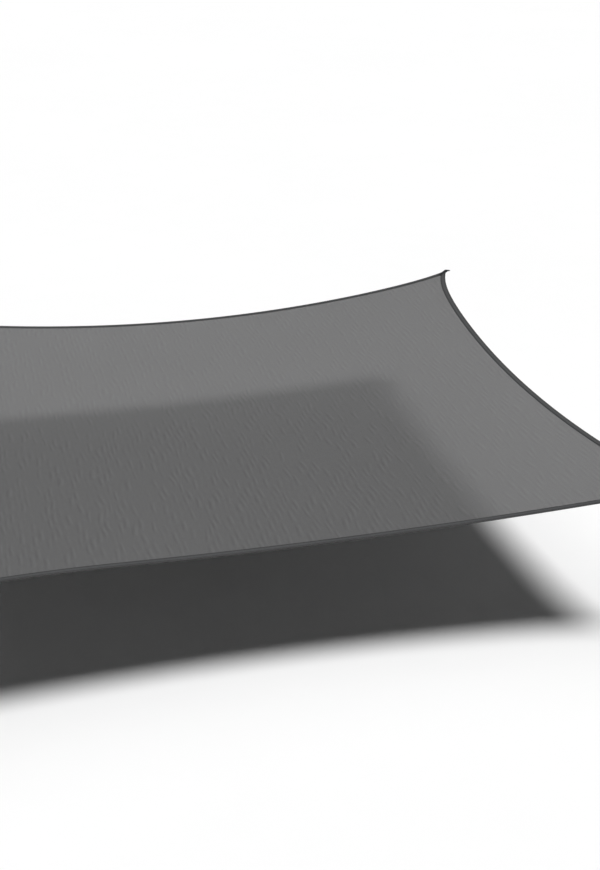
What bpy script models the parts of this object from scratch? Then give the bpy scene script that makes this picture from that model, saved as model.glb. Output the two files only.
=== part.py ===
"""A rectangular knitted shade sail: one dished cloth panel whose four edges are cut as shallow inward
curves, a folded binding along each edge, and a short webbing loop with a D-shaped ring at each corner.

The cloth runs along X (width) and Y (depth), and +Z is up. A place on it is a pair (u, v), each from -1 to
1, and every other piece is laid on the same surface at its own height above and below it."""

import math

import bmesh
import bpy
import numpy as np
from mathutils import Matrix, Vector

# Driving dimensions, in metres
WIDTH = 3.96  # corner to corner along X
DEPTH = 3.66  # corner to corner along Y
END_BOW = 0.158  # how far the middles of the front and back edges are cut in
SIDE_BOW = 0.184  # how far the middles of the right and left edges are cut in
END_FLARE = 0.10  # share of the end bow that is taken up right at the corners
SIDE_FLARE = 0.37  # share of the side bow that is taken up right at the corners
FLARE_POWER = 10
END_SAG = 0.142  # how far the middles of the front and back edges hang below their corners
SIDE_SAG = 0.104  # how far the middles of the side edges hang below their corners
MIDDLE_SAG = 0.120  # how far the middle of the cloth hangs below the corners
LOW_CORNER_DROP = 0.081  # the front left corner is tied this much lower than the others
LOW_CORNER_START = 0.45  # where along the half width that drop begins
CORNER_LIFT = 0.011  # how far the pull on the rings lifts the very corners above that
LIFT_POWER = 16  # how close to the corners the lift begins

CLOTH_THICK = 0.0016
BINDING_WIDE = 0.035
BINDING_THICK = 0.0013
STRAP_WIDE = 0.024
STRAP_THICK = 0.0014
STRAP_LEG = 0.080  # how far each leg of a corner loop reaches over the cloth
RING_BAR_OUT = 0.016  # along the loop, from the cloth's corner to the middle of the ring's straight bar
HINGE_OUT = 0.004  # from the cloth's corner to where the free end of the loop turns down
DROOP = math.radians(22)  # how far that end and its ring hang down while nothing pulls them
RING_HALF_WIDE = 0.0165
RING_LONG = 0.024
RING_BEND = 0.004  # radius of the bends at the ends of the straight bar
GAP = 0.0005  # between pieces that touch

# Worked out from them: heights above the middle of the cloth, up through the binding and the loop. The
# ring's wire is as thick as the binding, so that the loop leaves the binding level and folds round it.
SLOT_HALF = CLOTH_THICK / 2 + GAP
BINDING_TOP = SLOT_HALF + BINDING_THICK
STRAP_UNDER = BINDING_TOP + GAP
STRAP_MIDDLE = STRAP_UNDER + STRAP_THICK / 2
WIRE_RADIUS = STRAP_UNDER - GAP
BINDING_OUT = GAP + BINDING_THICK  # the binding's fold stands this far outside the cloth's edge

CELLS = 44  # along each side of the cloth
CROWDING = 2  # how strongly the cells crowd together towards the corners
MITRE_POWER = 12  # how soon the binding's inner edge draws in to its mitred ends
LEG_CELLS = 8
FOLD_CELLS = 8
BEND_CELLS = 3
BOW_CELLS = 20
WIRE_RESOLUTION = 3  # 10 sides
SHARP_ANGLE = math.radians(35)
STEP = 1e-4  # for slopes taken as differences
SETTLE = 40  # repeats that settle a value found by substitution

CORNERS = {"back_right": (1, 1), "back_left": (-1, 1), "front_left": (-1, -1), "front_right": (1, -1)}


# ---------------------------------------------------------------- the sail's surface


def bow(t, flare):
    """How much of an edge's inward bow is left at t: 1 in its middle and 0 at its corners."""
    return 1 - (1 - flare) * t**2 - flare * t**FLARE_POWER


def bow_slope(t, flare):
    return -2 * (1 - flare) * t - FLARE_POWER * flare * t ** (FLARE_POWER - 1)


def half_width(v):
    return WIDTH / 2 - SIDE_BOW * bow(v, SIDE_FLARE)


def half_depth(u):
    return DEPTH / 2 - END_BOW * bow(u, END_FLARE)


def surface(u, v):
    """The points of the cloth's middle surface. The three level corners are at the height of their lift."""
    u, v = np.broadcast_arrays(np.asarray(u, float), np.asarray(v, float))
    across, along = 1 - u**2, 1 - v**2
    sag = END_SAG * across * v**2 + SIDE_SAG * along * u**2 + MIDDLE_SAG * across * along
    towards_low = np.clip((-u - LOW_CORNER_START) / (1 - LOW_CORNER_START), 0, None) * (1 - v) / 2
    drop = LOW_CORNER_DROP * towards_low**2
    lift = CORNER_LIFT * np.abs(u * v) ** LIFT_POWER
    return np.stack([u * half_width(v), v * half_depth(u), lift - sag - drop], axis=-1)


def unit(vectors):
    return vectors / np.linalg.norm(vectors, axis=-1, keepdims=True)


def normal(u, v):
    """The upward normal of the surface."""
    along_u = surface(u + STEP, v) - surface(u - STEP, v)
    along_v = surface(u, v + STEP) - surface(u, v - STEP)
    return unit(np.cross(along_u, along_v))


def uv_at(x, y):
    """The u, v of a place in plan, found by repeating the two relations that tie them to x and y."""
    u, v = 2 * x / WIDTH, 2 * y / DEPTH
    for _ in range(SETTLE):
        u, v = x / half_width(v), y / half_depth(u)
    return u, v


def stations():
    """Values from -1 to 1 that crowd together towards the corners, where the edges curve most."""
    return np.tanh(CROWDING * np.linspace(-1, 1, CELLS + 1)) / np.tanh(CROWDING)


# ---------------------------------------------------------------- objects


def make_material(name, colour, roughness, metallic=0.0):
    material = bpy.data.materials.new(name)
    material.use_nodes = True
    shader = material.node_tree.nodes["Principled BSDF"]
    shader.inputs["Base Color"].default_value = (*colour, 1.0)
    shader.inputs["Roughness"].default_value = roughness
    shader.inputs["Metallic"].default_value = metallic
    return material


def add_object(name, data, material, sail):
    """Links an object, and hangs it from the empty that places the whole sail."""
    data.materials.append(material)
    made = bpy.data.objects.new(name, data)
    bpy.context.scene.collection.objects.link(made)
    made.parent = sail
    return made


def make_mesh(name, points, faces):
    mesh = bpy.data.meshes.new(name)
    mesh.from_pydata(points.reshape(-1, 3).tolist(), [], faces)
    shaped = bmesh.new()
    shaped.from_mesh(mesh)
    bmesh.ops.recalc_face_normals(shaped, faces=shaped.faces)
    shaped.to_mesh(mesh)
    shaped.free()
    mesh.shade_smooth()
    mesh.set_sharp_from_angle(angle=SHARP_ANGLE)
    return mesh


def halves(a, b, c, d, from_first=True):
    """Two triangles for the quad a, b, c, d, divided from a to c or from b to d."""
    return [(a, b, c), (a, c, d)] if from_first else [(a, b, d), (b, c, d)]


def add_sheet(name, grid, thickness, material, sail):
    """Flat stuff of one thickness, half of it on each side of a grid of points."""
    rows, row = grid.shape[:2]
    faces = []
    for i in range(rows - 1):
        for j in range(row - 1):
            near, far = i * row + j, (i + 1) * row + j
            faces += halves(near, far, far + 1, near + 1)
    sheet = add_object(name, make_mesh(name, grid, faces), material, sail)
    wall = sheet.modifiers.new("thickness", "SOLIDIFY")
    wall.thickness = thickness
    wall.offset = 0
    wall.use_even_offset = True


# ---------------------------------------------------------------- cloth and binding


def add_cloth(material, sail):
    t = stations()
    u, v = np.meshgrid(t, t, indexing="ij")
    add_sheet("cloth", surface(u, v), CLOTH_THICK, material, sail)


# Each edge runs anticlockwise: the u, v at station t, this share of the half size in from the edge, and
# whether it is one of the two sides
EDGES = {
    "binding_right": (lambda t, inset: (1 - inset, t), True),
    "binding_back": (lambda t, inset: (-t, 1 - inset), False),
    "binding_left": (lambda t, inset: (inset - 1, -t), True),
    "binding_front": (lambda t, inset: (t, inset - 1), False),
}


def binding_inset(t, is_side):
    """The share of the half size that lies one binding's width in from the edge at station t."""
    if is_side:
        lean = SIDE_BOW * bow_slope(t, SIDE_FLARE) / (DEPTH / 2)
        return BINDING_WIDE * np.hypot(1, lean) / half_width(t)
    lean = END_BOW * bow_slope(t, END_FLARE) / (WIDTH / 2)
    return BINDING_WIDE * np.hypot(1, lean) / half_depth(t)


def mitre_station(is_side):
    """The station at which the inner edges of two bindings meet, along a side edge or an end edge."""
    side = end = 1.0
    for _ in range(SETTLE):
        side, end = 1 - binding_inset(end, False), 1 - binding_inset(side, True)
    return side if is_side else end


def add_binding(name, material, sail):
    """A folded tape: a U-shaped section, open towards the cloth, carried along the edge.

    Both legs have a point half way, because the cloth curves under them near the corners. Each end is cut
    along the plane that halves the corner, half a gap short of it."""
    place, is_side = EDGES[name]
    t = stations()
    edge, up = surface(*place(t, 0)), normal(*place(t, 0))
    along = unit(surface(*place(t + STEP, 0)) - surface(*place(t - STEP, 0)))
    outwards = np.cross(along, up)
    inner_t = t * (1 - (1 - mitre_station(is_side)) * np.abs(t) ** MITRE_POWER)
    inner_place = place(inner_t, binding_inset(inner_t, is_side))
    middle_place = [(outer + inner) / 2 for outer, inner in zip(place(t, 0), inner_place)]
    inner, inner_up = surface(*inner_place), normal(*inner_place)
    middle, middle_up = surface(*middle_place), normal(*middle_place)

    set_back = np.zeros_like(edge)
    for end, sign in ((0, 1), (-1, -1)):
        halving = unit(edge[end] - inner[end])
        outwards[end] = halving / np.dot(halving, outwards[end])
        backwards = along[end] * sign
        set_back[end] = unit(backwards - halving * np.dot(halving, backwards)) * GAP / 2

    section = [
        edge + outwards * BINDING_OUT + up * BINDING_TOP,
        middle + middle_up * BINDING_TOP,
        inner + inner_up * BINDING_TOP,
        inner + inner_up * SLOT_HALF,
        middle + middle_up * SLOT_HALF,
        edge + outwards * GAP + up * SLOT_HALF,
        edge + outwards * GAP - up * SLOT_HALF,
        middle - middle_up * SLOT_HALF,
        inner - inner_up * SLOT_HALF,
        inner - inner_up * BINDING_TOP,
        middle - middle_up * BINDING_TOP,
        edge + outwards * BINDING_OUT - up * BINDING_TOP,
    ]
    outward_faces = (2, 3, 4, 8, 9, 10)  # divided the other way, so that all follow the cloth beside them
    points = np.stack(section, axis=1) + set_back[:, None]
    size = len(section)
    faces = []
    for j in range(CELLS):
        for k in range(size):
            a, b = j * size + k, j * size + (k + 1) % size
            faces += halves(a, a + size, b + size, b, is_side == (k in outward_faces))
    for first in (0, CELLS * size):
        for cap in ((0, 1, 4, 5), (1, 2, 3, 4), (0, 5, 6, 11), (6, 7, 10, 11), (7, 8, 9, 10)):
            faces.append([first + k for k in cap])
    add_object(name, make_mesh(name, points, faces), material, sail)


# ---------------------------------------------------------------- corner loops and rings


def corner_frame(signs):
    """The corner's point, the way out of it along the line that halves it, and up."""
    u, v = signs
    corner, up = surface(u, v), normal(u, v)
    edges = [unit(surface(u - u * STEP, v) - corner), unit(surface(u, v - v * STEP) - corner)]
    out = -unit(edges[0] + edges[1])
    return corner, out, unit(up - out * np.dot(up, out))


def ring_frame(signs):
    """The middle of the ring's bar, the way out of it along the drooping end of the loop, and up."""
    corner, out, up = corner_frame(signs)
    onwards = out * math.cos(DROOP) - up * math.sin(DROOP)
    bar = corner + out * HINGE_OUT + onwards * (RING_BAR_OUT - HINGE_OUT)
    return bar, onwards, up * math.cos(DROOP) + out * math.sin(DROOP)


def add_loop(name, signs, material, sail):
    """A strap whose legs lie over and under the corner, and which folds round the ring's bar.

    Its middle line goes out over the cloth, down past the hinge, half round the bar and back underneath."""
    corner, out, up = corner_frame(signs)
    bar, onwards, bar_up = ring_frame(signs)
    reach = np.linspace(STRAP_LEG, 0, LEG_CELLS + 1)
    place = uv_at(corner[0] - out[0] * reach, corner[1] - out[1] * reach)
    leg, leg_up = surface(*place), normal(*place)
    turn = np.linspace(0, math.pi, FOLD_CELLS + 1)[:, None]
    fold_up = np.cos(turn) * bar_up + np.sin(turn) * onwards
    fold = np.broadcast_to(bar, fold_up.shape)
    hinge = corner + out * HINGE_OUT

    middle = np.vstack([leg, hinge, fold, hinge, leg[::-1]])
    away = np.vstack([leg_up, up, fold_up, -up, -leg_up[::-1]])
    facing_up = np.vstack([leg_up, up, np.broadcast_to(up, fold_up.shape), up, leg_up[::-1]])
    across = unit(np.cross(facing_up, out)) * STRAP_WIDE / 2
    line = middle + away * STRAP_MIDDLE
    add_sheet(name, np.stack([line - across, line + across], axis=1), STRAP_THICK, material, sail)


def ring_path():
    """A closed D round the middle of its bar, as (across, out): two bends joined by a half ellipse."""
    bend = np.linspace(-math.pi / 2, 0, BEND_CELLS, endpoint=False)
    right_bend = np.stack(
        [RING_HALF_WIDE - RING_BEND * (1 - np.cos(bend)), RING_BEND * (1 + np.sin(bend))], axis=1
    )
    sweep = np.linspace(0, math.pi, BOW_CELLS + 1)
    half_ellipse = np.stack(
        [RING_HALF_WIDE * np.cos(sweep), RING_BEND + (RING_LONG - RING_BEND) * np.sin(sweep)], axis=1
    )
    return np.concatenate([right_bend, half_ellipse, right_bend[::-1] * (-1, 1)])


def add_ring(name, signs, material, sail):
    """Round wire along the D, with its bar inside the loop and its bow hanging on from there."""
    bar, onwards, up = ring_frame(signs)
    path = ring_path()
    curve = bpy.data.curves.new(name, "CURVE")
    curve.dimensions = "3D"
    curve.bevel_depth = WIRE_RADIUS
    curve.bevel_resolution = WIRE_RESOLUTION
    spline = curve.splines.new("POLY")
    spline.points.add(len(path) - 1)
    for point, (across_by, out_by) in zip(spline.points, path):
        point.co = (across_by, out_by, 0, 1)
    spline.use_cyclic_u = True
    spline.use_smooth = True
    ring = add_object(name, curve, material, sail)
    axes = Matrix([np.cross(onwards, up), onwards, up]).transposed().to_4x4()
    ring.matrix_local = Matrix.Translation(bar) @ axes


# ---------------------------------------------------------------- the whole sail


def clear_scene():
    for old in list(bpy.data.objects):
        bpy.data.objects.remove(old, do_unlink=True)


def centre(sail):
    """Moves the empty so that the middle of the sail's box is at the origin."""
    depsgraph = bpy.context.evaluated_depsgraph_get()
    places = []
    for piece in sail.children:
        shown = piece.evaluated_get(depsgraph)
        mesh = shown.to_mesh()
        places += [shown.matrix_world @ vertex.co for vertex in mesh.vertices]
        shown.to_mesh_clear()
    low = Vector([min(place[axis] for place in places) for axis in range(3)])
    high = Vector([max(place[axis] for place in places) for axis in range(3)])
    sail.location -= (low + high) / 2


def main():
    clear_scene()
    sail = bpy.data.objects.new("sail", None)
    bpy.context.scene.collection.objects.link(sail)
    knit = make_material("knitted_cloth", (0.175, 0.176, 0.178), 0.85)
    tape = make_material("binding_tape", (0.060, 0.061, 0.063), 0.80)
    webbing = make_material("loop_webbing", (0.035, 0.036, 0.038), 0.75)
    steel = make_material("ring_steel", (0.30, 0.30, 0.31), 0.30, metallic=1.0)
    add_cloth(knit, sail)
    for name in EDGES:
        add_binding(name, tape, sail)
    for name, signs in CORNERS.items():
        add_loop("loop_" + name, signs, webbing, sail)
        add_ring("ring_" + name, signs, steel, sail)
    bpy.context.view_layer.update()
    centre(sail)


main()
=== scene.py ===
"""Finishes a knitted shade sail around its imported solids.

The file is laid out as an add-on: sizes and colours are properties, and each group of pieces has its own
operator. The cloth is a dished sheet over (u, v), each from -1 to 1, and the tapes, seams, loops and rings
are laid on that same sheet."""

import math

import bpy
import numpy as np
from bpy.props import FloatProperty, FloatVectorProperty, PointerProperty
from mathutils import Euler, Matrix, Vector


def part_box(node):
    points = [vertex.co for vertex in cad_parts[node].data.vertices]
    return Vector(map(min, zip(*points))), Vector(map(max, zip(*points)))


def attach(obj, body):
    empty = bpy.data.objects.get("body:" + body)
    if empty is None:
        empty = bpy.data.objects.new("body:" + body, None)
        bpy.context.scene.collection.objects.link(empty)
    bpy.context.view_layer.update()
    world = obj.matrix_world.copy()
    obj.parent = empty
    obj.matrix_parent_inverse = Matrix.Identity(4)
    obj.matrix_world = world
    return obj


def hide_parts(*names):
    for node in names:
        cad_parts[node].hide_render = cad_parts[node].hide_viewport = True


bl_info = {
    "name": "Shade Sail",
    "version": (1, 0, 0),
    "blender": (4, 5, 0),
    "location": "View3D > Sidebar > Sail",
    "description": "Knitted cloth, folded edge tapes, seams, corner loops and rings of a shade sail",
    "category": "Object",
}

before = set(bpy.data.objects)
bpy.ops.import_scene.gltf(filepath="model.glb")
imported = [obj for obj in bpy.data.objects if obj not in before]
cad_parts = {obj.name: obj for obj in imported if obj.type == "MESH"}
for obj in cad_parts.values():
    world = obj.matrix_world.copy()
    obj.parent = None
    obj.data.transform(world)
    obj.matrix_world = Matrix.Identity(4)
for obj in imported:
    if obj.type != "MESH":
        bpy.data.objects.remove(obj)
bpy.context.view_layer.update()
CLOTH_LOW, CLOTH_HIGH = (np.array(corner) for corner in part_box("cloth"))
BODY = "root"

CORNERS = {"back_right": (1, 1), "back_left": (-1, 1), "front_left": (-1, -1), "front_right": (1, -1)}

# Each edge runs anticlockwise: the u, v at station t, this share of the half size in from the edge, and
# whether it is one of the two sides
EDGES = {
    "right": (lambda t, inset: (1 - inset, t), True),
    "back": (lambda t, inset: (-t, 1 - inset), False),
    "left": (lambda t, inset: (inset - 1, -t), True),
    "front": (lambda t, inset: (t, inset - 1), False),
}

FLARE_POWER = 10  # how close to the corners the edges flare out
MITRE_POWER = 12  # how soon a tape's inner edge draws in to its mitred ends
LIFT_POWER = 16  # how close to the corners their lift begins
CROWDING = 2  # how strongly stations crowd together towards the corners
STEP = 1e-4  # for slopes taken as differences
SETTLE = 40  # repeats that settle a value found by substitution


# ---- properties


def length(name, description, default):
    return FloatProperty(name=name, description=description, default=default, unit="LENGTH", precision=4)


def share(name, description, default):
    return FloatProperty(name=name, description=description, default=default, subtype="FACTOR", min=0, max=1)


def strength(name, description, default):
    return FloatProperty(name=name, description=description, default=default, min=0)


def angle(name, description, default):
    return FloatProperty(name=name, description=description, default=default, subtype="ANGLE")


def colour(name, description, default):
    return FloatVectorProperty(
        name=name, description=description, default=default, subtype="COLOR", size=3, min=0, max=1
    )


class SailSizes(bpy.types.PropertyGroup):
    width: length("Width", "Corner to corner along the front edge", float(CLOTH_HIGH[0] - CLOTH_LOW[0]))
    depth: length("Depth", "Corner to corner along a side edge", float(CLOTH_HIGH[1] - CLOTH_LOW[1]))
    end_bow: length("End bow", "How far the front and back edges are cut in at their middles", 0.158)
    side_bow: length("Side bow", "How far the side edges are cut in at their middles", 0.184)
    end_flare: share("End flare", "Share of the end bow taken up right at the corners", 0.10)
    side_flare: share("Side flare", "Share of the side bow taken up right at the corners", 0.37)
    end_sag: length("End sag", "How far the middles of the front and back edges hang down", 0.142)
    side_sag: length("Side sag", "How far the middles of the side edges hang down", 0.104)
    middle_sag: length("Middle sag", "How far the middle of the cloth hangs down", 0.120)
    corner_drop: length("Corner drop", "How much lower the front left corner is tied", 0.081)
    drop_start: share("Drop start", "Where along the half width that drop begins", 0.45)
    corner_lift: length("Corner lift", "How far the pull on the rings lifts the very corners", 0.011)
    cloth_thick: length("Cloth thickness", "Through the knit", 0.0016)
    tape_wide: length("Tape width", "How far the folded edge tape covers the cloth", 0.035)
    tape_thick: length("Tape thickness", "Through one layer of edge tape", 0.0013)
    strap_wide: length("Strap width", "Width of the corner loops", 0.024)
    strap_thick: length("Strap thickness", "Through one layer of a corner loop", 0.0014)
    strap_leg: length("Strap leg", "How far each leg of a corner loop reaches over the cloth", 0.080)
    bar_out: length("Bar distance", "Along the loop, from the corner to the middle of the ring's bar", 0.016)
    hinge_out: length("Hinge distance", "From the corner to where a loop's free end turns down", 0.004)
    droop: angle("Droop", "How far that end and its ring hang down", math.radians(22))
    ring_half_wide: length("Ring half width", "Half the width of the D, to the middle of its wire", 0.0165)
    ring_long: length("Ring length", "From the bar to the top of the bow, between wire middles", 0.024)
    ring_bend: length("Ring bend", "Radius of the bends beside the bar", 0.004)
    gap: length("Gap", "Between pieces that touch", 0.0005)
    thread: length("Thread", "Diameter of the sewing thread", 0.0010)
    stitch: length("Stitch", "Length from one stitch to the next", 0.0060)


class SailFinish(bpy.types.PropertyGroup):
    cloth: colour("Cloth", "Colour of the knitted yarn", (0.121, 0.121, 0.122))
    tape: colour("Tape", "Colour of the edge tape", (0.075, 0.076, 0.078))
    webbing: colour("Webbing", "Colour of the corner loops", (0.026, 0.027, 0.029))
    thread: colour("Thread", "Colour of the sewing thread", (0.012, 0.012, 0.013))
    steel: colour("Steel", "Colour of the rings", (0.30, 0.30, 0.31))
    floor: colour("Floor", "Colour of the floor", (0.90, 0.90, 0.90))
    see_through: share("See-through", "Share of the light from behind that passes the knit", 0.07)
    sun_through: share("Sun through", "Share of the direct sun that passes the knit", 0.012)
    streak: share("Streak", "How much more a looser row of the knit lets through", 0.014)


class SailStage(bpy.types.PropertyGroup):
    floor_drop: length("Floor drop", "From the level corners of the cloth down to the floor", 0.757)
    floor_size: length("Floor size", "Half the width of the floor", 60.0)
    key: strength("Key light", "Strength of the light that casts the shadow", 3.22)
    key_width: angle("Key width", "How wide the key light looks", 0.36)
    fill: strength("Fill light", "Strength of the wide light overhead", 0.60)
    fill_width: angle("Fill width", "How wide the fill light looks", 1.15)
    sky: strength("Sky", "Strength of the light from all round", 0.03)
    lens: FloatProperty(name="Lens", description="Focal length for a 36 mm sensor", default=59.63)


# ---- the sail's surface


def unit(vectors):
    return vectors / np.linalg.norm(vectors, axis=-1, keepdims=True)


def bow(t, flare):
    """How much of an edge's inward bow is left at t: 1 in its middle and 0 at its corners."""
    return 1 - (1 - flare) * t**2 - flare * t**FLARE_POWER


def bow_slope(t, flare):
    return -2 * (1 - flare) * t - FLARE_POWER * flare * t ** (FLARE_POWER - 1)


def crowded(cells):
    """Stations from -1 to 1: the hyperbolic tangent of an even run, which crowds them at the corners."""
    return np.tanh(CROWDING * np.linspace(-1, 1, cells + 1)) / np.tanh(CROWDING)


class Surface:
    """The middle surface of the hanging cloth.

    x is u times the half width less the side's bow at v, and y is v times the half depth less the end's
    bow at u. z is minus the sag: a parabola along each edge, a third one in the middle, a soft drop towards
    the front left corner, and a short lift at the very corners."""

    def __init__(self, sizes):
        self.sizes = sizes
        middle = (CLOTH_LOW + CLOTH_HIGH) / 2
        top = CLOTH_HIGH[2] - sizes.cloth_thick / 2 - sizes.corner_lift
        self.origin = np.array([middle[0], middle[1], top])

    def half_width(self, v):
        return self.sizes.width / 2 - self.sizes.side_bow * bow(v, self.sizes.side_flare)

    def half_depth(self, u):
        return self.sizes.depth / 2 - self.sizes.end_bow * bow(u, self.sizes.end_flare)

    def at(self, u, v):
        sizes = self.sizes
        u, v = np.broadcast_arrays(np.asarray(u, float), np.asarray(v, float))
        across, along = 1 - u**2, 1 - v**2
        sag = sizes.end_sag * across * v**2 + sizes.side_sag * along * u**2
        sag = sag + sizes.middle_sag * across * along
        towards_low = np.clip((-u - sizes.drop_start) / (1 - sizes.drop_start), 0, None) * (1 - v) / 2
        sag = sag + sizes.corner_drop * towards_low**2 - sizes.corner_lift * np.abs(u * v) ** LIFT_POWER
        return self.origin + np.stack([u * self.half_width(v), v * self.half_depth(u), -sag], axis=-1)

    def normal(self, u, v):
        along_u = self.at(u + STEP, v) - self.at(u - STEP, v)
        along_v = self.at(u, v + STEP) - self.at(u, v - STEP)
        return unit(np.cross(along_u, along_v))

    def uv_at(self, x, y):
        """The u, v of a place in plan, found by repeating the two relations that tie them to x and y."""
        x, y = x - self.origin[0], y - self.origin[1]
        u, v = 2 * x / self.sizes.width, 2 * y / self.sizes.depth
        for _ in range(SETTLE):
            u, v = x / self.half_width(v), y / self.half_depth(u)
        return u, v

    def tape_inset(self, t, is_side):
        """The share of the half size that lies one tape's width in from the edge at station t."""
        sizes = self.sizes
        if is_side:
            lean = sizes.side_bow * bow_slope(t, sizes.side_flare) / (sizes.depth / 2)
            return sizes.tape_wide * np.hypot(1, lean) / self.half_width(t)
        lean = sizes.end_bow * bow_slope(t, sizes.end_flare) / (sizes.width / 2)
        return sizes.tape_wide * np.hypot(1, lean) / self.half_depth(t)

    def mitre(self, is_side):
        """The station at which the inner edges of two tapes meet, on a side edge or an end edge."""
        side = end = 1.0
        for _ in range(SETTLE):
            side, end = 1 - self.tape_inset(end, False), 1 - self.tape_inset(side, True)
        return side if is_side else end

    def corner(self, signs):
        """A corner's point, the way out of it along the line that halves it, and up."""
        u, v = signs
        corner, up = self.at(u, v), self.normal(u, v)
        edges = [unit(self.at(u - u * STEP, v) - corner), unit(self.at(u, v - v * STEP) - corner)]
        out = -unit(edges[0] + edges[1])
        return corner, out, unit(up - out * np.dot(up, out))

    def ring_frame(self, signs):
        """The middle of a ring's bar, the way out of it along the drooping end of the loop, and up."""
        sizes = self.sizes
        corner, out, up = self.corner(signs)
        onwards, ring_up = drooped(out, up, sizes.droop)
        return corner + out * sizes.hinge_out + onwards * (sizes.bar_out - sizes.hinge_out), onwards, ring_up


def drooped(out, up, droop):
    """The ways out and up, turned down by this angle."""
    return out * np.cos(droop) - up * np.sin(droop), up * np.cos(droop) + out * np.sin(droop)


class Layers:
    """Heights above the middle of the cloth, worked out from the thicknesses, and the radius of the wire
    that fits in a loop's fold."""

    def __init__(self, sizes):
        self.slot = sizes.cloth_thick / 2 + sizes.gap
        self.tape_top = self.slot + sizes.tape_thick
        self.strap_under = self.tape_top + sizes.gap
        self.strap_top = self.strap_under + sizes.strap_thick
        self.strap_middle = (self.strap_under + self.strap_top) / 2
        self.wire = self.strap_under - sizes.gap


# ---- meshes

SHARP_ANGLE = math.radians(50)  # edges sharper than this aren't shaded smooth


def grid_quads(rows, row, wrap_rows=False, wrap_row=False):
    """The quads between the points of a grid. A wrapped direction joins its last points to its first."""
    i, j = np.meshgrid(
        np.arange(rows if wrap_rows else rows - 1), np.arange(row if wrap_row else row - 1), indexing="ij"
    )
    next_i, next_j = (i + 1) % rows, (j + 1) % row
    corners = [i * row + j, next_i * row + j, next_i * row + next_j, i * row + next_j]
    return np.stack(corners, axis=-1).reshape(-1, 4)


def new_object(name, data):
    made = bpy.data.objects.new(name, data)
    bpy.context.scene.collection.objects.link(made)
    return made


def make_piece(name, points, quads, material, uv, others=()):
    """A mesh object from an array of points and one of quads. uv holds a pair for each quad's corners, and
    others are faces with more or fewer corners, which get the first corner's pair."""
    mesh = bpy.data.meshes.new(name)
    others = [list(face) for face in others]
    mesh.from_pydata(points.reshape(-1, 3), [], [*quads.tolist(), *others])
    pairs, spare = uv.reshape(-1, 2), sum(len(face) for face in others)
    pairs = np.concatenate([pairs, np.repeat(pairs[:1], spare, axis=0)])
    mesh.uv_layers.new(name="cut").uv.foreach_set("vector", pairs.astype(np.float32).ravel())
    mesh.materials.append(material)
    mesh.shade_smooth()
    mesh.set_sharp_from_angle(angle=SHARP_ANGLE)
    made = new_object(name, mesh)
    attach(made, BODY)
    return made


def carried(name, section_points, material, along, around, closed_path=False):
    """A closed section carried along a path: section_points is stations by section by xyz. An open path
    gets a face across each end. along and around are the distances run along the path and round the
    section, with one more where that closes."""
    rows, row = section_points.shape[:2]
    quads = grid_quads(rows, row, wrap_rows=closed_path, wrap_row=True)
    uv = np.stack(np.meshgrid(along, around, indexing="ij"), axis=-1).reshape(-1, 2)
    uv = uv[grid_quads(len(along), len(around))]
    ends = () if closed_path else (np.arange(row)[::-1], (rows - 1) * row + np.arange(row))
    return face_outwards(make_piece(name, section_points, quads, material, uv, ends))


def lengths_along(points):
    """The distance run along a line of points, starting at 0."""
    return np.concatenate([[0], np.cumsum(np.linalg.norm(np.diff(points, axis=0), axis=-1))])


def lengths_round(points):
    """The same for a closed line, back to its first point."""
    return lengths_along(np.vstack([points, points[:1]]))


def face_outwards(piece):
    """Turns the faces out where the piece's volume comes out negative."""
    mesh = piece.data
    mesh.calc_loop_triangles()
    places = np.empty(len(mesh.vertices) * 3, np.float32)
    mesh.vertices.foreach_get("co", places)
    corners = np.empty(len(mesh.loop_triangles) * 3, np.int32)
    mesh.loop_triangles.foreach_get("vertices", corners)
    a, b, c = places.reshape(-1, 3)[corners.reshape(-1, 3)].transpose(1, 0, 2).astype(float)
    if np.einsum("ij,ij->i", a, np.cross(b, c)).sum() < 0:
        mesh.flip_normals()
    return piece


# ---- node wiring


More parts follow.
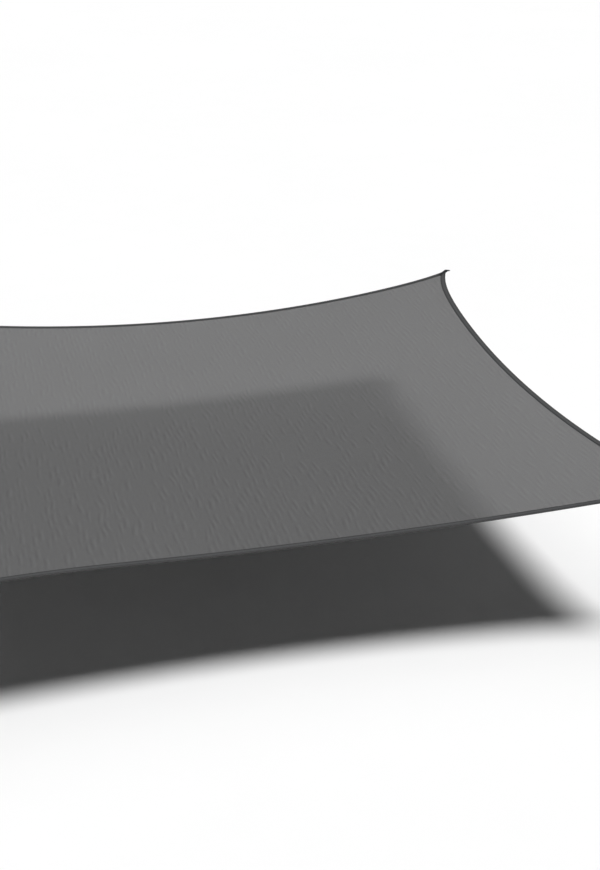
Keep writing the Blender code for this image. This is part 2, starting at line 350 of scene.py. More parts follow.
class Wiring:
    """Adds nodes to one tree. What is fed to a socket is a plain value or another node's output."""

    def __init__(self, tree):
        self.tree = tree

    def feed(self, socket, value):
        if isinstance(value, bpy.types.NodeSocket):
            self.tree.links.new(value, socket)
        else:
            socket.default_value = value

    def fill(self, node, inputs):
        for key, value in dict(inputs).items():
            self.feed(node.inputs[key], value)

    def add(self, kind, inputs=(), **settings):
        node = self.tree.nodes.new(kind)
        for name, value in settings.items():
            setattr(node, name, value)
        self.fill(node, inputs)
        return node

    def math(self, operation, *values):
        return self.add("ShaderNodeMath", enumerate(values), operation=operation).outputs[0]

    def times(self, *values):
        return self.math("MULTIPLY", *values)

    def ramp(self, value, low, high, to_low=0.0, to_high=1.0):
        """Runs smoothly from to_low to to_high as value goes from low to high, and stays level beyond."""
        inputs = {"Value": value, "From Min": low, "From Max": high, "To Min": to_low, "To Max": to_high}
        return self.add("ShaderNodeMapRange", inputs, interpolation_type="SMOOTHSTEP").outputs[0]

    def between(self, low, high, value):
        """Runs in a straight line from low to high as value goes from 0 to 1."""
        return self.math("MULTIPLY_ADD", value, high - low, low)

    def ripple(self, value):
        """The sine of half a turn a step, without its sign: 0 at whole numbers and 1 half way between."""
        return self.math("ABSOLUTE", self.math("SINE", self.times(value, math.pi)))

    def noise(self, place, detail, scale=1.0, roughness=0.5):
        inputs = {"Vector": place, "Scale": scale, "Detail": detail, "Roughness": roughness}
        return self.add("ShaderNodeTexNoise", inputs).outputs[0]

    def apart(self, vector):
        return self.add("ShaderNodeSeparateXYZ", {0: vector}).outputs

    def counted(self, place, across, along):
        """The x and y of a place, counted in steps of these lengths."""
        place = self.apart(place)
        return self.math("DIVIDE", place[0], across), self.math("DIVIDE", place[1], along)

    def together(self, x, y, z=0.0):
        return self.add("ShaderNodeCombineXYZ", {0: x, 1: y, 2: z}).outputs[0]

    def stretched(self, x, y, scales, z=0.0):
        """The place x, y, z, with x and y each times its own scale."""
        return self.together(self.times(x, scales[0]), self.times(y, scales[1]), z)

    def tinted(self, base, brightness):
        """The colour base, times a brightness that changes over the surface."""
        node = self.add("ShaderNodeMix", {0: 1.0, 6: (*base, 1.0)}, data_type="RGBA", blend_type="MULTIPLY")
        self.feed(node.inputs[7], self.together(brightness, brightness, brightness))
        return node.outputs[2]

    def group(self, tree, **inputs):
        node = self.add("ShaderNodeGroup", node_tree=tree)
        self.fill(node, {name.replace("_", " ").capitalize(): value for name, value in inputs.items()})
        return node.outputs

    def bump(self, height, distance):
        return self.add("ShaderNodeBump", {"Height": height, "Distance": distance}).outputs[0]


def new_group(name, inputs, outputs):
    """A shader node group with these sockets, a wiring for it, and its two ends to wire between. A default
    of None makes a vector input."""
    tree = bpy.data.node_groups.new(name, "ShaderNodeTree")
    for label, default in inputs.items():
        kind = "NodeSocketVector" if default is None else "NodeSocketFloat"
        socket = tree.interface.new_socket(label, in_out="INPUT", socket_type=kind)
        if default is not None:
            socket.default_value = default
    for label in outputs:
        tree.interface.new_socket(label, in_out="OUTPUT", socket_type="NodeSocketFloat")
    wiring = Wiring(tree)
    return tree, wiring, wiring.add("NodeGroupInput").outputs, wiring.add("NodeGroupOutput").inputs


def shared(build):
    """The node group that build makes, made once and then found again by its function's name."""
    return bpy.data.node_groups.get(build.__name__) or build(build.__name__)


CHAIN_POWER = 1.5  # narrows the chains' crowns
TIE_POWER = 6.0  # narrows the ties' crowns
CHAIN_DIP = 0.75  # a chain's height between two loops, as a share of its height on them
TIE_HIGH = 0.65  # a tie's height, as a share of a chain's
CLOSING = (0.15, 0.6)  # heights between which the yarn comes to close the cloth


def open_knit(name):
    """Open warp knit. Chains of loops run along y, one a wale, and two sets of slanting yarns tie each chain
    to the next. Height is the taller of the two, and Cover is how well they close the cloth."""
    sockets = {"Place": None, "Wale": 0.0042, "Course": 0.0032}
    tree, w, given, out = new_group(name, sockets, ("Height", "Cover"))
    wale, course = w.counted(given["Place"], given["Wale"], given["Course"])
    chain = w.math("POWER", w.ripple(wale), CHAIN_POWER)
    chain = w.times(chain, w.between(CHAIN_DIP, 1.0, w.ripple(course)))
    slants = [w.times(w.math(lean, wale, course), 0.5) for lean in ("ADD", "SUBTRACT")]
    tie = w.math("MAXIMUM", *(w.math("POWER", w.ripple(slant), TIE_POWER) for slant in slants))
    height = w.math("MAXIMUM", chain, w.times(tie, TIE_HIGH))
    w.feed(out["Height"], height)
    w.feed(out["Cover"], w.ramp(height, *CLOSING))
    return tree


WANDER_WAVES = (0.2, 0.5)  # how quickly it wanders, for each row across and run along
WANDER_FAR = 2.0  # in rows
RUN_SHIFT = 0.618  # how much further along each row's runs begin, in runs
RUN_CHANCE = (0.1, 0.9)  # draws at which a run has no strength, and all of it
FINE_WAVES = (3.0, 4.0)  # how quickly the fine unevenness changes, across and along
FINE_LAYER = 3.0  # keeps it apart from the wandering


def loose_rows(name):
    """Short runs of looser and tighter knit. Across x a wave goes once up and once down in each row, and
    wanders a little sideways. Along y the rows are cut into runs, each with a random strength that fades
    out at both ends. With fine unevenness added, Streak runs from about -1 to 1."""
    tree, w, given, out = new_group(name, {"Place": None, "Spacing": 0.030, "Length": 0.15}, ("Streak",))
    across, along = w.counted(given["Place"], given["Spacing"], given["Length"])
    wander = w.noise(w.stretched(across, along, WANDER_WAVES), 1.0)
    across = w.math("MULTIPLY_ADD", wander, WANDER_FAR, across)
    row = w.math("FLOOR", across)
    along = w.math("MULTIPLY_ADD", row, RUN_SHIFT, along)
    run = {"Vector": w.together(row, w.math("FLOOR", along))}
    draw = w.add("ShaderNodeTexWhiteNoise", run, noise_dimensions="2D").outputs[0]
    wave = w.math("SINE", w.times(across, 2 * math.pi))
    faded_wave = w.times(wave, w.ripple(along))
    fine = w.math("SUBTRACT", w.noise(w.stretched(across, along, FINE_WAVES, FINE_LAYER), 1.0), 0.5)
    w.feed(out["Streak"], w.math("MULTIPLY_ADD", faded_wave, w.ramp(draw, *RUN_CHANCE), fine))
    return tree


RIB_POWER = 0.5  # rounds the ribs' crowns
PICK_DIP = 0.5  # a rib's height between two picks, as a share of its height on them
# painted shade: the weave's colour darkens from the crowns down into the furrows
WEAVE_PAINTED_SHADES = (0.05, 0.7, 0.55, 1.0)  # two heights, then the shades there


def woven_tape(name):
    """Woven tape, in metres along and across it: ribs run along it, and picks cross them half a step out of
    line from rib to rib. Height is the yarn's crown, and Shade is painted shade: darker down in the furrows
    between yarns, lighter on their crowns."""
    sockets = {"Along and across": None, "Rib": 0.0020, "Pick": 0.0012}
    tree, w, given, out = new_group(name, sockets, ("Height", "Shade"))
    pick, rib = w.counted(given["Along and across"], given["Pick"], given["Rib"])
    pick = w.math("MULTIPLY_ADD", w.math("FLOOR", rib), 0.5, pick)
    crown = w.math("POWER", w.ripple(rib), RIB_POWER)
    height = w.times(crown, w.between(PICK_DIP, 1.0, w.ripple(pick)))
    w.feed(out["Height"], height)
    # Shade is painted shade in the furrows between yarns
    w.feed(out["Shade"], w.ramp(height, *WEAVE_PAINTED_SHADES))
    return tree


PATCH_KINDS = ((1.0, 3.0, 0.55, 0.6), (9.0, 4.0, 0.6, 0.4))  # each one's scale, detail, roughness and part
PATCH_EDGE = (0.3, 0.7)  # where in the mixture a patch begins, and is full


def weather(name):
    """Dust and fading: two sizes of soft patches, mixed. Patches runs from 0 to 1."""
    tree, w, given, out = new_group(name, {"Place": None, "Size": 0.5}, ("Patches",))
    scale = w.math("DIVIDE", 1.0, given["Size"])
    mixed = 0.0
    for times, detail, roughness, part in PATCH_KINDS:
        patches = w.noise(given["Place"], detail, w.times(scale, times), roughness)
        mixed = w.math("MULTIPLY_ADD", patches, part, mixed)
    w.feed(out["Patches"], w.ramp(mixed, *PATCH_EDGE))
    return tree


# ---- materials


def new_material(name):
    """An empty material, its wiring and its Principled shader."""
    material = bpy.data.materials.new(name)
    material.use_nodes = True
    shader = material.node_tree.nodes["Principled BSDF"]
    return material, Wiring(material.node_tree), shader


def object_place(w):
    return w.add("ShaderNodeTexCoord").outputs["Object"]


def cut_place(w):
    return w.add("ShaderNodeUVMap", uv_map="cut").outputs[0]


LOOSE_DARKER = 6.9  # how fast yarn darkens as it lets more through, so that it looks even over white
PORE_OPEN = 0.05  # how much more a pore lets through than the yarn beside it
COVERED = 0.7  # the share of the knit that yarn covers
PORE_TO_YARN = (0.88, 1.04)  # brightness in the pores and on the yarn
CLOTH_FADING = (0.985, 1.015)  # brightness of its darkest and its most faded patches
KNIT_DEEP = 0.0005


def cloth_material(finish):
    """Knit that lets a little of what lies behind it show. A looser row is darker and more see-through, so
    it shows where the ground behind is dark. Only the outer faces are seen, so both act as one layer."""
    material, w, shader = new_material("knitted_cloth")
    place = object_place(w)
    knit = w.group(shared(open_knit), place=place)
    streak = w.times(w.group(shared(loose_rows), place=place)["Streak"], finish.streak)
    patches = w.group(shared(weather), place=place, size=0.6)["Patches"]

    closed = w.math("SUBTRACT", 1 - finish.see_through, streak)
    closed = w.math("ADD", closed, w.between(-COVERED * PORE_OPEN, (1 - COVERED) * PORE_OPEN, knit["Cover"]))
    yarn = w.between(*PORE_TO_YARN, knit["Cover"])
    faded = w.between(*CLOTH_FADING, patches)
    loose = w.math("MULTIPLY_ADD", streak, -LOOSE_DARKER, 1.0)
    brightness = w.times(w.times(yarn, faded), loose)
    outer = w.math("SUBTRACT", 1.0, w.add("ShaderNodeNewGeometry").outputs["Backfacing"])
    in_shadow = w.add("ShaderNodeLightPath").outputs["Is Shadow Ray"]
    shading = w.times(in_shadow, 1 - finish.sun_through)
    w.fill(shader, {
        "Base Color": w.tinted(finish.cloth, brightness),
        "Normal": w.bump(knit["Height"], KNIT_DEEP),
        "Roughness": 0.85,
        "Specular IOR Level": 0.12,
        "Alpha": w.times(w.math("MAXIMUM", closed, shading), outer),
    })
    return material


# painted shade and dirt along the seams
FURROW_SHADE_AND_DIRT = 0.30  # how much darker a tape is along its seams
FURROW_WIDE = (0.0006, 0.0026)  # its half width, where the dark begins to fade and where it has gone
TAPE_FADING = (0.92, 1.08)
WEAVE_DEEP = 0.0003
DUSTIER = 0.1  # how much rougher a dusty patch of tape is


def woven_material(name, base, rib, pick, roughness, furrows=()):
    """Ribbed tape or webbing, woven along its own length, a little dusty, with painted shade in the furrows
    between its yarns. Furrows are the places across it where a seam pulls it in: these are darkened with
    painted shade and with the dirt that gathers there."""
    material, w, shader = new_material(name)
    place = cut_place(w)
    woven = w.group(shared(woven_tape), along_and_across=place, rib=rib, pick=pick)
    patches = w.group(shared(weather), place=object_place(w), size=0.25)["Patches"]
    # shade is the weave's painted shade between yarns, times dusty, faded patches
    shade = w.times(woven["Shade"], w.between(*TAPE_FADING, patches))
    across = w.math("ABSOLUTE", w.apart(place)[1])
    for furrow in furrows:
        # each seam's furrow darkened: painted shade, and dirt
        off = w.math("ABSOLUTE", w.math("SUBTRACT", across, furrow))
        shade = w.times(shade, w.ramp(off, *FURROW_WIDE, 1 - FURROW_SHADE_AND_DIRT, 1.0))
    w.fill(shader, {
        "Base Color": w.tinted(base, shade),
        "Normal": w.bump(woven["Height"], WEAVE_DEEP),
        "Roughness": w.between(roughness, roughness + DUSTIER, patches),
        "Specular IOR Level": 0.2,
    })
    return material


TWIST = (6.0, 2.0)  # waves along a stitch and round it
# painted shade: the thread is darker between its strands than on them
TWIST_PAINTED_SHADES = (0.6, 1.1)  # brightness between two strands and on them
TWIST_DEEP = 0.0001


def thread_material(finish):
    """Twisted sewing thread: the twist is a slanting wave along each stitch, with painted shade between the
    strands.
    """
    material, w, shader = new_material("sewing_thread")
    place = w.apart(cut_place(w))
    around = w.times(place[1], TWIST[1])
    twist = w.ripple(w.math("MULTIPLY_ADD", place[0], TWIST[0], around))
    # the colour carries painted shade between the strands
    w.fill(shader, {
        "Base Color": w.tinted(finish.thread, w.between(*TWIST_PAINTED_SHADES, twist)),
        "Normal": w.bump(twist, TWIST_DEEP),
        "Roughness": 0.6,
    })
    return material


SCRATCH_WAVES = (60.0, 2400.0)  # in a metre along the wire and round it
SCRATCH_DEEP = 0.00004
SCRATCH_ROUGH = 0.12  # how much rougher a scratch is
STEEL_SHADES = (1.0, 0.75)  # brightness of the clean and of the dull patches
STEEL_ROUGH = (0.22, 0.42)  # and their roughness


def steel_material(finish):
    """Satin steel: fine scratches along the wire, and duller patches from handling and weather."""
    material, w, shader = new_material("ring_steel")
    place = w.apart(cut_place(w))
    scratches = w.noise(w.stretched(place[0], place[1], SCRATCH_WAVES), 3.0)
    patches = w.group(shared(weather), place=object_place(w), size=0.02)["Patches"]
    w.fill(shader, {
        "Base Color": w.tinted(finish.steel, w.between(*STEEL_SHADES, patches)),
        "Normal": w.bump(scratches, SCRATCH_DEEP),
        "Roughness": w.math("MULTIPLY_ADD", scratches, SCRATCH_ROUGH, w.between(*STEEL_ROUGH, patches)),
        "Metallic": 1.0,
    })
    return material


FLOOR_SHADES = (0.995, 1.005)


def floor_material(finish):
    """Plain pale floor, a little uneven in tone."""
    material, w, shader = new_material("pale_floor")
    patches = w.group(shared(weather), place=object_place(w), size=3.0)["Patches"]
    tone = w.tinted(finish.floor, w.between(*FLOOR_SHADES, patches))
    w.fill(shader, {"Base Color": tone, "Roughness": 0.9, "Specular IOR Level": 0.0})
    return material


# ---- cloth

CLOTH_CELLS = 112


def make_cloth(sizes, finish):
    """One sheet on the surface, at crowded u and v, given its thickness half to each side."""
    surface = Surface(sizes)
    t = crowded(CLOTH_CELLS)
    u, v = np.meshgrid(t, t, indexing="ij")
    quads = grid_quads(len(t), len(t))
    uv = (np.stack([u, v], axis=-1).reshape(-1, 2) + 1) / 2
    cloth = make_piece("sail_cloth", surface.at(u, v), quads, cloth_material(finish), uv[quads])
    wall = cloth.modifiers.new("thickness", "SOLIDIFY")
    wall.thickness = sizes.cloth_thick
    wall.offset = 0
    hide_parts("cloth")


# ---- edge tapes

TAPE_CELLS = 220
LEG_CELLS = 24
FOLD_CELLS = 10
DIMPLE_DEEP = 0.0003
DIMPLE_WIDE = 0.0011
ROWS = (0.0035, 0.0075, 0.0285, 0.0325)  # seams, by their distance in from the cloth's edge


class Tape:
    """One edge tape: finds the point that lies a given way in from the edge, at a height over the cloth."""

    def __init__(self, surface, edge):
        self.surface = surface
        self.place, self.is_side = EDGES[edge]
        self.reach = surface.mitre(self.is_side)

    def base(self, t, inwards):
        """The point of the cloth, and its normal, this far in from the edge at station t. Towards the ends,
        t draws in so that the tape ends in a mitre. Beyond the edge it goes on straight outwards, and at
        the two ends along the line that halves the corner."""
        surface = self.surface
        inside = np.clip(inwards, 0, None) / surface.sizes.tape_wide
        drawn = t * (1 - (1 - self.reach) * np.abs(t) ** MITRE_POWER * inside)
        place = self.place(drawn, surface.tape_inset(drawn, self.is_side) * inside)
        edge, up = surface.at(*self.place(t, 0)), surface.normal(*self.place(t, 0))
        along = unit(surface.at(*self.place(t + STEP, 0)) - surface.at(*self.place(t - STEP, 0)))
        outwards = np.cross(along, up)
        mitred = np.abs(t) > 1 - STEP
        width = surface.tape_inset(self.reach, self.is_side)
        halving = unit(edge - surface.at(*self.place(self.reach * np.sign(t), width)))
        stretched = halving / np.sum(halving * outwards, axis=-1, keepdims=True)
        outwards = np.where(mitred[..., None], stretched, outwards)
        beyond = np.clip(-np.asarray(inwards), 0, None)[..., None]
        return surface.at(*place) + outwards * beyond, surface.normal(*place)

    def point(self, t, inwards, height):
        base, up = self.base(t, inwards)
        return base + up * np.asarray(height)[..., None]


def dimples(inwards):
    """How deep the seams pull the tape in: a soft dip at each row."""
    rows = np.asarray(ROWS)
    return DIMPLE_DEEP * np.exp(-(((inwards[..., None] - rows) / DIMPLE_WIDE) ** 2)).sum(axis=-1)


def tape_section(sizes, layers):
    """The folded tape's section, as (inwards, height): a leg over the cloth, a half round fold and a leg
    under it. The outer line is pressed in at the seams, and it goes back along the inner line."""
    fold_at = layers.slot - sizes.gap
    leg = np.linspace(sizes.tape_wide, fold_at, LEG_CELLS + 1)
    turn = np.linspace(math.pi / 2, 3 * math.pi / 2, FOLD_CELLS + 1)[1:-1]

    def line(radius, pressed):
        level = np.full(len(leg), radius)
        inwards = np.concatenate([leg, fold_at + radius * np.cos(turn), leg[::-1]])
        heights = np.concatenate([level, radius * np.sin(turn), -level])
        return inwards, heights - np.sign(heights) * pressed * dimples(inwards)

    outer, inner = line(layers.tape_top, 1.0), line(layers.slot, 0.0)
    return np.concatenate([outer[0], inner[0][::-1]]), np.concatenate([outer[1], inner[1][::-1]])


def make_tapes(sizes, finish):
    surface, layers = Surface(sizes), Layers(sizes)
    inwards, heights = tape_section(sizes, layers)
    round_section = lengths_round(np.stack([inwards, heights], axis=1))
    round_section -= round_section[LEG_CELLS + FOLD_CELLS // 2]  # from the middle of the fold
    furrows = np.interp(ROWS, inwards[LEG_CELLS::-1], -round_section[LEG_CELLS::-1])
    material = woven_material(
        "binding_tape", finish.tape, rib=0.0022, pick=0.0014, roughness=0.75, furrows=furrows.tolist()
    )
    t = crowded(TAPE_CELLS)
    for edge in EDGES:
        tape = Tape(surface, edge)
        points = tape.point(*np.broadcast_arrays(t[:, None], inwards, heights))
        along = lengths_along(points[:, 0])
        set_back(points, sizes.gap / 2)
        piece = carried("edge_tape_" + edge, points, material, along, round_section)
        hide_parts("binding_" + edge)


def set_back(points, distance):
    """Moves each end of a carried section back along its path, so that two mitred ends keep a gap."""
    for end, neighbour in ((0, 1), (-1, -2)):
        inner, outer = points[end, 0], points[end, LEG_CELLS]
        halving = unit(outer - inner)
        back = points[neighbour, LEG_CELLS] - outer
        points[end] += unit(back - halving * np.dot(halving, back)) * distance


# ---- seams

STITCH_SHARE = 0.80  # of a stitch's length shows above the tape
STITCH_TURNS = np.linspace(-1, 1, 5)[1:-1]  # where along it the thread has its own ring of points
STITCH_SIDES = 4
STITCH_POWER = 3  # how late the thread begins to taper
STITCH_DIP = 0.5  # of the thread's diameter, that both ends of a stitch sink


def stitches(name, centres, along, up, size, sizes, material):
    """Short lengths of thread, one at each centre. Each is a spindle: rings of points whose radius falls off
    towards its two tips, which dip into the cloth."""
    count = len(centres)
    half = size * STITCH_SHARE / 2
    sideways = np.cross(up, along)
    turn = (np.arange(STITCH_SIDES) + 0.5) * 2 * math.pi / STITCH_SIDES
    run = STITCH_TURNS[:, None]
    radius = sizes.thread / 2 * np.sqrt(1 - np.abs(run) ** STITCH_POWER)
    x = np.broadcast_to(run * half, (len(run), STITCH_SIDES))
    y, z = radius * np.cos(turn), radius * np.sin(turn) - sizes.thread * STITCH_DIP * run**2
    x, y, z = (np.concatenate([[tip], ring.ravel(), [end]]) for tip, ring, end in (
        (-half, x, half), (0, y, 0), (-sizes.thread * STITCH_DIP, z, -sizes.thread * STITCH_DIP)
    ))
    points = (
        centres[:, None] + x[:, None] * along[:, None]
        + y[:, None] * sideways[:, None] + z[:, None] * up[:, None]
    )

    quads = grid_quads(len(run), STITCH_SIDES, wrap_row=True) + 1
    ring = 1 + np.arange(STITCH_SIDES)
    last = ring + STITCH_SIDES * (len(run) - 1)
    tip, end = np.zeros_like(ring), np.full_like(ring, last[-1] + 1)
    cones = np.concatenate([
        np.stack([tip, np.roll(ring, -1), ring], axis=1), np.stack([end, last, np.roll(last, -1)], axis=1)
    ])
    shift = (np.arange(count) * len(x))[:, None, None]
    uv = np.stack([x / size, np.arctan2(z, y) / (2 * math.pi)], axis=-1)
    return make_piece(
        name, points, (quads + shift).reshape(-1, 4), material, np.tile(uv[quads], (count, 1, 1)),
        (cones + shift).reshape(-1, 3),
    )


def evenly(points, ups, spacing):
    """Places every spacing along a line of points: their centres, directions and ups."""
    run = lengths_along(points)
    count = max(1, int(run[-1] / spacing))
    at = (np.arange(count) + 0.5) * run[-1] / count

    def pick(values):
        return np.stack([np.interp(at, run, values[:, axis]) for axis in range(3)], axis=1)

    along, up = unit(pick(np.gradient(points, run, axis=0))), unit(pick(ups))
    return pick(points), along, unit(up - along * np.sum(along * up, axis=-1, keepdims=True))


SEAM_SAMPLES = 600
SEAM_END = 0.012  # how far each row stops short of its mitre
SEAM_HIGH = 0.3  # of the thread's diameter, from the pressed in tape to its middle


def make_seams(sizes, finish):
    """Double rows of stitches near both margins of each tape, above and below."""
    surface, layers = Surface(sizes), Layers(sizes)
    material = thread_material(finish)
    height = layers.tape_top - DIMPLE_DEEP + sizes.thread * SEAM_HIGH
    t = crowded(SEAM_SAMPLES)
    for edge in EDGES:
        tape = Tape(surface, edge)
        rows = []
        for row in ROWS:
            for side in (1, -1):
                base, up = tape.base(t, np.full_like(t, row))
                line = base + up * height * side
                run = lengths_along(line)
                kept = (run > SEAM_END) & (run < run[-1] - SEAM_END)
                rows.append(evenly(line[kept], up[kept] * side, sizes.stitch))
        centres, along, up = (np.concatenate(parts) for parts in zip(*rows))
        piece = stitches("seams_" + edge, centres, along, up, sizes.stitch, sizes, material)


# ---- corner loops

STRAP_LEG_CELLS = 28
STRAP_FOLD_CELLS = 20
HINGE_CELLS = 6
HINGE_BEND = 0.0015  # how far the bend at the hinge reaches to each side of it
STRAP_ROUND = 0.0005
STRAP_ROUND_CELLS = 4
BOX = (0.030, 0.072, 0.008)  # the sewn box on a leg: its reach from the corner, near and far, and half width
BOX_SAMPLES = 12  # along each of its lines
BOX_HIGH = 0.2  # of the thread's diameter, from the strap to its middle


def strap_path(surface, layers, signs):
    """The strap's middle line with the ways away from the wrapped stuff and across: out over the cloth, a
    soft bend down at the hinge, half round the bar, and back in underneath."""
    sizes = surface.sizes
    corner, out, up = surface.corner(signs)
    bar, onwards, bar_up = surface.ring_frame(signs)
    reach = np.linspace(sizes.strap_leg, 0, STRAP_LEG_CELLS + 1)
    place = surface.uv_at(corner[0] - out[0] * reach, corner[1] - out[1] * reach)
    leg, leg_up = surface.at(*place), surface.normal(*place)

    part = np.linspace(0, 1, HINGE_CELLS + 1)[:, None]
    bend_up = drooped(out, up, sizes.droop * part)[1]
    bend = corner + out * sizes.hinge_out + ((part**2 * onwards) - (1 - part) ** 2 * out) * HINGE_BEND
    turn = np.linspace(0, math.pi, STRAP_FOLD_CELLS + 1)[:, None]
    fold_up = np.cos(turn) * bar_up + np.sin(turn) * onwards
    fold = np.broadcast_to(bar, fold_up.shape)

    middle = np.vstack([leg, bend, fold, bend[::-1], leg[::-1]])
    away = np.vstack([leg_up, bend_up, fold_up, -bend_up[::-1], -leg_up[::-1]])
    level = np.broadcast_to(up, fold_up.shape)
    facing_up = np.vstack([leg_up, bend_up, level, bend_up[::-1], leg_up[::-1]])
    across = unit(np.cross(facing_up, out))
    return middle + away * layers.strap_middle, away, across


def strap_section(sizes):
    """A flat rectangle with rounded corners, as (across, away), anticlockwise."""
    half, thin = sizes.strap_wide / 2 - STRAP_ROUND, sizes.strap_thick / 2 - STRAP_ROUND
    turn = np.linspace(0, math.pi / 2, STRAP_ROUND_CELLS + 1)
    corners = []
    for quarter, (x, y) in enumerate(CORNERS.values()):
        turned = turn + quarter * math.pi / 2
        corners.append((x * half + STRAP_ROUND * np.cos(turned), y * thin + STRAP_ROUND * np.sin(turned)))
    return (np.concatenate(axis) for axis in zip(*corners))


def box_seam(surface, layers, signs):
    """The box with a cross in it that is sewn through both legs, as centres, directions and ups."""
    sizes = surface.sizes
    corner, out, up = surface.corner(signs)
    across = np.cross(up, out)
    near, far, half = BOX
    turns = [(near, -half), (far, -half), (far, half), (near, half), (near, -half), (far, half)]
    lines = list(zip(turns[:-1], turns[1:])) + [((near, half), (far, -half))]
    rows = []
    for (reach_a, side_a), (reach_b, side_b) in lines:
        part = np.linspace(0, 1, BOX_SAMPLES)[:, None]
        reach, side = reach_a + (reach_b - reach_a) * part, side_a + (side_b - side_a) * part
        spot = corner - out * reach + across * side
        place = surface.uv_at(spot[:, 0], spot[:, 1])
        leg_up = surface.normal(*place)
        for over in (1, -1):
            line = surface.at(*place) + leg_up * (layers.strap_top + sizes.thread * BOX_HIGH) * over
            rows.append(evenly(line, leg_up * over, sizes.stitch / 2))
    return (np.concatenate(parts) for parts in zip(*rows))


def make_loops(sizes, finish):
    surface, layers = Surface(sizes), Layers(sizes)
    webbing = woven_material("loop_webbing", finish.webbing, rib=0.0016, pick=0.0012, roughness=0.7)
    thread = thread_material(finish)
    across_by, away_by = strap_section(sizes)
    round_section = lengths_round(np.stack([across_by, away_by], axis=1))
    for corner, signs in CORNERS.items():
        middle, away, across = strap_path(surface, layers, signs)
        points = middle[:, None] + across[:, None] * across_by[:, None] + away[:, None] * away_by[:, None]
        loop = carried("corner_loop_" + corner, points, webbing, lengths_along(middle), round_section)
        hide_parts("loop_" + corner)
        rows = box_seam(surface, layers, signs)
        box = stitches("box_seam_" + corner, *rows, sizes.stitch / 2, sizes, thread)


# ---- rings

BEND_CELLS = 6
BOW_CELLS = 48
BAR_CELLS = 8
WIRE_SIDES = 20


def ring_path(sizes):
    """A closed D round the middle of its bar, as (across, out): the bar, and two bends joined by a half
    ellipse."""
    wide, bend_radius = sizes.ring_half_wide, sizes.ring_bend
    bend = np.linspace(-math.pi / 2, 0, BEND_CELLS, endpoint=False)
    right = np.stack([wide - bend_radius * (1 - np.cos(bend)), bend_radius * (1 + np.sin(bend))], axis=1)
    sweep = np.linspace(0, math.pi, BOW_CELLS + 1)
    bow_line = np.stack(
        [wide * np.cos(sweep), bend_radius + (sizes.ring_long - bend_radius) * np.sin(sweep)], axis=1
    )
    left = right[::-1] * (-1, 1)
    bar = np.linspace(left[-1], right[0], BAR_CELLS + 1)[1:-1]
    return np.concatenate([right, bow_line, left, bar])


def make_rings(sizes, finish):
    """Round wire carried along the D, which has its bar in the loop and hangs on from there."""
    surface, layers = Surface(sizes), Layers(sizes)
    material = steel_material(finish)
    path = ring_path(sizes)
    ahead = unit(np.roll(path, -1, axis=0) - np.roll(path, 1, axis=0))
    sideways = np.stack([ahead[:, 1], -ahead[:, 0]], axis=1)
    turn = np.arange(WIRE_SIDES) * 2 * math.pi / WIRE_SIDES
    flat = path[:, None] + layers.wire * np.cos(turn)[:, None] * sideways[:, None]
    raised = layers.wire * np.sin(turn)[:, None]
    along = lengths_round(path)
    round_wire = np.linspace(0, layers.wire * 2 * math.pi, WIRE_SIDES + 1)
    for corner, signs in CORNERS.items():
        bar, out, up = surface.ring_frame(signs)
        points = bar + flat[..., :1] * np.cross(out, up) + flat[..., 1:] * out + raised * up
        ring = carried("ring_wire_" + corner, points, material, along, round_wire, closed_path=True)
        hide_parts("ring_" + corner)


# ---- stage

CAMERA_SPOT = (-1.554, -7.580, 3.163)  # from the middle of the sail, at the height of its level corners
CAMERA_TURN = math.radians(14.565)  # to the right of straight towards the back edge
CAMERA_TILT = math.radians(24.0)  # below level
CAMERA_REACH = 200  # how far it sees
KEY_FROM = (0.536, -0.032, 1.0)
FILL_FROM = (0.0, 0.40, 1.0)


def add_light(name, power, width, direction):
    """A far light that shines from this direction and looks this wide."""
    light = new_object(name, bpy.data.lights.new(name, "SUN"))
    light.data.energy = power
    light.data.angle = width
    light.rotation_euler = Vector(direction).to_track_quat("Z", "Y").to_euler()


def make_stage(sizes, finish, stage):
    """Pale floor under the sail, a key light, a wide fill light, even light from all round, and the
    camera."""
    origin = Vector(Surface(sizes).origin)
    size, height = stage.floor_size, origin.z - stage.floor_drop
    corners = [(x * size, y * size, height) for x, y in CORNERS.values()]
    floor = new_object("floor", bpy.data.meshes.new("floor"))
    floor.data.from_pydata(corners, [], [(0, 1, 2, 3)])
    floor.data.materials.append(floor_material(finish))

    add_light("key_light", stage.key, stage.key_width, KEY_FROM)
    add_light("fill_light", stage.fill, stage.fill_width, FILL_FROM)

    world = bpy.data.worlds.new("soft_room")
    world.use_nodes = True
    w = Wiring(world.node_tree)
    seen = w.add("ShaderNodeLightPath").outputs["Is Camera Ray"]
    glow = w.math("MAXIMUM", seen, stage.sky)
    w.fill(world.node_tree.nodes["Background"], {"Color": (1.0, 1.0, 1.0, 1.0), "Strength": glow})
    bpy.context.scene.world = world

    camera = new_object("camera", bpy.data.cameras.new("camera"))
    camera.data.lens = stage.lens
    camera.data.clip_end = CAMERA_REACH
    camera.location = origin + Vector(CAMERA_SPOT)
    camera.rotation_euler = Euler((math.pi / 2 - CAMERA_TILT, 0, -CAMERA_TURN))
    bpy.context.scene.camera = camera
    bpy.context.scene.view_settings.view_transform = "Standard"


# ---- operators, panel and registration

SETTINGS = {"sail_sizes": SailSizes, "sail_finish": SailFinish, "sail_stage": SailStage}


def sizes_and_finish(context):
    return context.scene.sail_sizes, context.scene.sail_finish


class SAIL_OT_cloth(bpy.types.Operator):
    """Lay the knitted cloth in its dish"""

    bl_idname = "sail.cloth"
    bl_label = "Cloth"

    def execute(self, context):
        make_cloth(*sizes_and_finish(context))
        return {"FINISHED"}


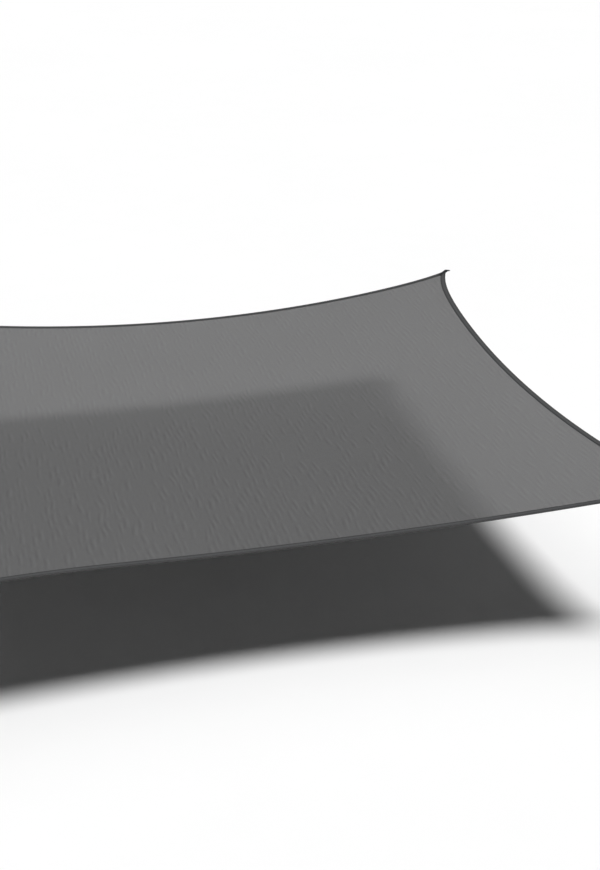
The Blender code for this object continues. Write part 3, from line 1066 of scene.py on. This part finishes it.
class SAIL_OT_tapes(bpy.types.Operator):
    """Fold a tape over each edge of the cloth"""

    bl_idname = "sail.tapes"
    bl_label = "Edge Tapes"

    def execute(self, context):
        make_tapes(*sizes_and_finish(context))
        return {"FINISHED"}


class SAIL_OT_seams(bpy.types.Operator):
    """Sew the tapes down with double rows of stitches"""

    bl_idname = "sail.seams"
    bl_label = "Seams"

    def execute(self, context):
        make_seams(*sizes_and_finish(context))
        return {"FINISHED"}


class SAIL_OT_loops(bpy.types.Operator):
    """Fold and sew a webbing loop at each corner"""

    bl_idname = "sail.loops"
    bl_label = "Corner Loops"

    def execute(self, context):
        make_loops(*sizes_and_finish(context))
        return {"FINISHED"}


class SAIL_OT_rings(bpy.types.Operator):
    """Bend a wire ring in each corner loop"""

    bl_idname = "sail.rings"
    bl_label = "Rings"

    def execute(self, context):
        make_rings(*sizes_and_finish(context))
        return {"FINISHED"}


class SAIL_OT_declare(bpy.types.Operator):
    bl_idname = "sail.declare"
    bl_label = "Declare Sheet"

    def execute(self, context):
        return {"FINISHED"}


class SAIL_OT_stage(bpy.types.Operator):
    """Set the floor, the light and the camera"""

    bl_idname = "sail.stage"
    bl_label = "Stage"

    def execute(self, context):
        make_stage(*sizes_and_finish(context), context.scene.sail_stage)
        return {"FINISHED"}


OPERATORS = (
    SAIL_OT_cloth, SAIL_OT_tapes, SAIL_OT_seams, SAIL_OT_loops, SAIL_OT_rings, SAIL_OT_declare, SAIL_OT_stage
)


class SAIL_PT_panel(bpy.types.Panel):
    bl_idname = "SAIL_PT_panel"
    bl_label = "Shade Sail"
    bl_space_type = "VIEW_3D"
    bl_region_type = "UI"
    bl_category = "Sail"

    def draw(self, context):
        for operator in OPERATORS:
            self.layout.operator(operator.bl_idname)
        for group, kind in SETTINGS.items():
            column = self.layout.column(align=True)
            for name in kind.__annotations__:
                column.prop(getattr(context.scene, group), name)


CLASSES = (*SETTINGS.values(), *OPERATORS, SAIL_PT_panel)


def register():
    for made in CLASSES:
        bpy.utils.register_class(made)
    for group, kind in SETTINGS.items():
        setattr(bpy.types.Scene, group, PointerProperty(type=kind))


def unregister():
    for group in SETTINGS:
        delattr(bpy.types.Scene, group)
    for made in reversed(CLASSES):
        bpy.utils.unregister_class(made)


def main():
    register()
    bpy.ops.sail.cloth()
    bpy.ops.sail.tapes()
    bpy.ops.sail.seams()
    bpy.ops.sail.loops()
    bpy.ops.sail.rings()
    bpy.ops.sail.declare()
    bpy.ops.sail.stage()


if __name__ == "__main__":
    main()
